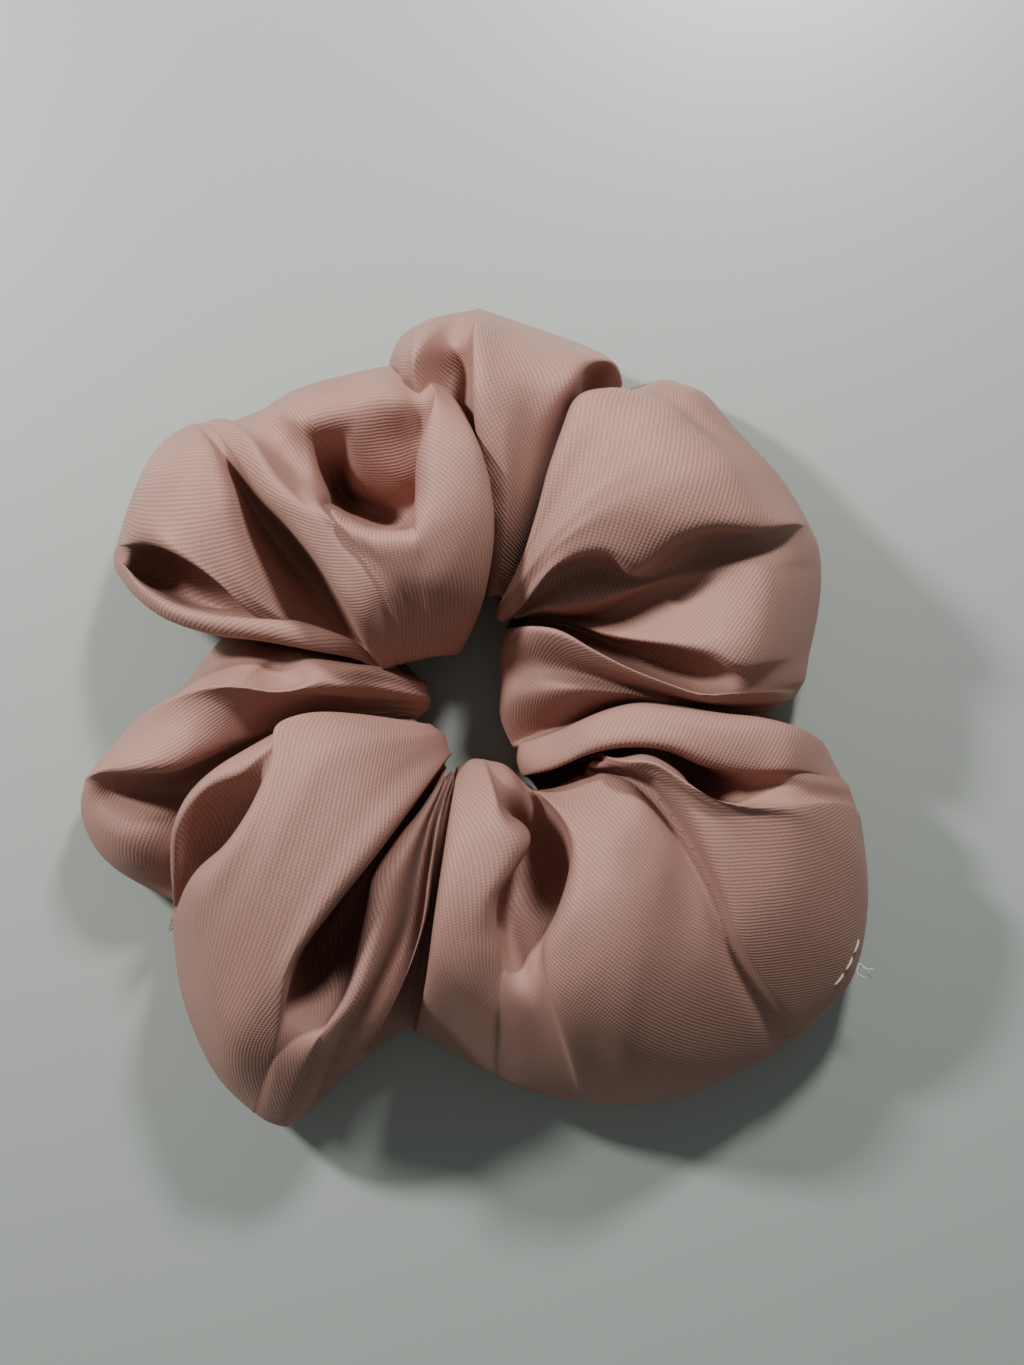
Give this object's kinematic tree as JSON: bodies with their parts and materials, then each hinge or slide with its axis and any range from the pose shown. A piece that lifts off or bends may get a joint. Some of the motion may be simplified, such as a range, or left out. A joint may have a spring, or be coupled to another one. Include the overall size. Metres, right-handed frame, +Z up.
{
  "type": "scrunchie",
  "caption": "Gathered satin scrunchie: a sewn fabric tube drawn up on a loop of elastic, with a small hole in the middle that stretches round a ponytail.",
  "frame": {"origin": "below the middle of the ring, on the surface that the scrunchie lies on", "axes": "+Z up through the hole; +Y and +X across the ring, with the cross seam towards +X -Y"},
  "size_m": [0.1108, 0.1137, 0.0371],
  "materials": {
    "satin": "satin",
    "elastic": "matte",
    "elastic_thread": "matte",
    "thread": "satin",
    "loose_thread": "matte"
  },
  "bodies": {
    "cover_gather_1": {"cover_gather_1": "satin", "elastic_band": "elastic", "elastic_join_stitches": "elastic_thread", "long_seam_thread": "thread"},
    "cover_gather_2": {"cover_gather_2": "satin"},
    "cover_gather_3": {"cover_gather_3": "satin"},
    "cover_gather_4": {"cover_gather_4": "satin"},
    "cover_end_right": {"cover_end_right": "satin", "cross_seam_stitches": "thread", "topstitching": "thread", "loose_thread_ends": "loose_thread"},
    "cover_gather_5": {"cover_gather_5": "satin"},
    "cover_gather_6": {"cover_gather_6": "satin"},
    "cover_gather_7": {"cover_gather_7": "satin"},
    "cover_end_left": {"cover_end_left": "satin"}
  },
  "joints": [
    {"name": "stretch", "type": "slide", "parent": "cover_gather_3", "child": "cover_gather_4", "axis": [0.5373, -0.8434, 0], "range_m": [0, 0.03224], "stiffness_N_per_m": 300, "deforming": ["elastic_band", "long_seam_thread"]},
    {"name": "stretch_1_2", "type": "slide", "parent": "cover_gather_1", "child": "cover_gather_2", "axis": [0.9135, 0.4067, 0], "range_m": [0, 0.01042]},
    {"name": "stretch_2_3", "type": "slide", "parent": "cover_gather_2", "child": "cover_gather_3", "axis": [0.9954, -0.0958, 0], "range_m": [0, 0.02003]},
    {"name": "stretch_4_end", "type": "slide", "parent": "cover_gather_4", "child": "cover_end_right", "axis": [-0.3907, -0.9205, 0], "range_m": [0, 0.02345]},
    {"name": "stretch_1_5", "type": "slide", "parent": "cover_gather_1", "child": "cover_gather_5", "axis": [-0.6018, -0.7986, 0], "range_m": [0, 0.01954]},
    {"name": "stretch_5_6", "type": "slide", "parent": "cover_gather_5", "child": "cover_gather_6", "axis": [0.1219, -0.9925, 0], "range_m": [0, 0.02536]},
    {"name": "stretch_6_7", "type": "slide", "parent": "cover_gather_6", "child": "cover_gather_7", "axis": [0.8192, -0.5736, 0], "range_m": [0, 0.02345]},
    {"name": "stretch_7_end", "type": "slide", "parent": "cover_gather_7", "child": "cover_end_left", "axis": [0.9613, 0.2756, 0], "range_m": [0, 0.02817]}
  ],
  "couplings": [
    {"joint": "stretch_1_2", "follows": "stretch", "ratio": 0.32319},
    {"joint": "stretch_2_3", "follows": "stretch", "ratio": 0.62127},
    {"joint": "stretch_4_end", "follows": "stretch", "ratio": 0.72721},
    {"joint": "stretch_1_5", "follows": "stretch", "ratio": 0.60593},
    {"joint": "stretch_5_6", "follows": "stretch", "ratio": 0.78656},
    {"joint": "stretch_6_7", "follows": "stretch", "ratio": 0.72721},
    {"joint": "stretch_7_end", "follows": "stretch", "ratio": 0.87376}
  ]
}
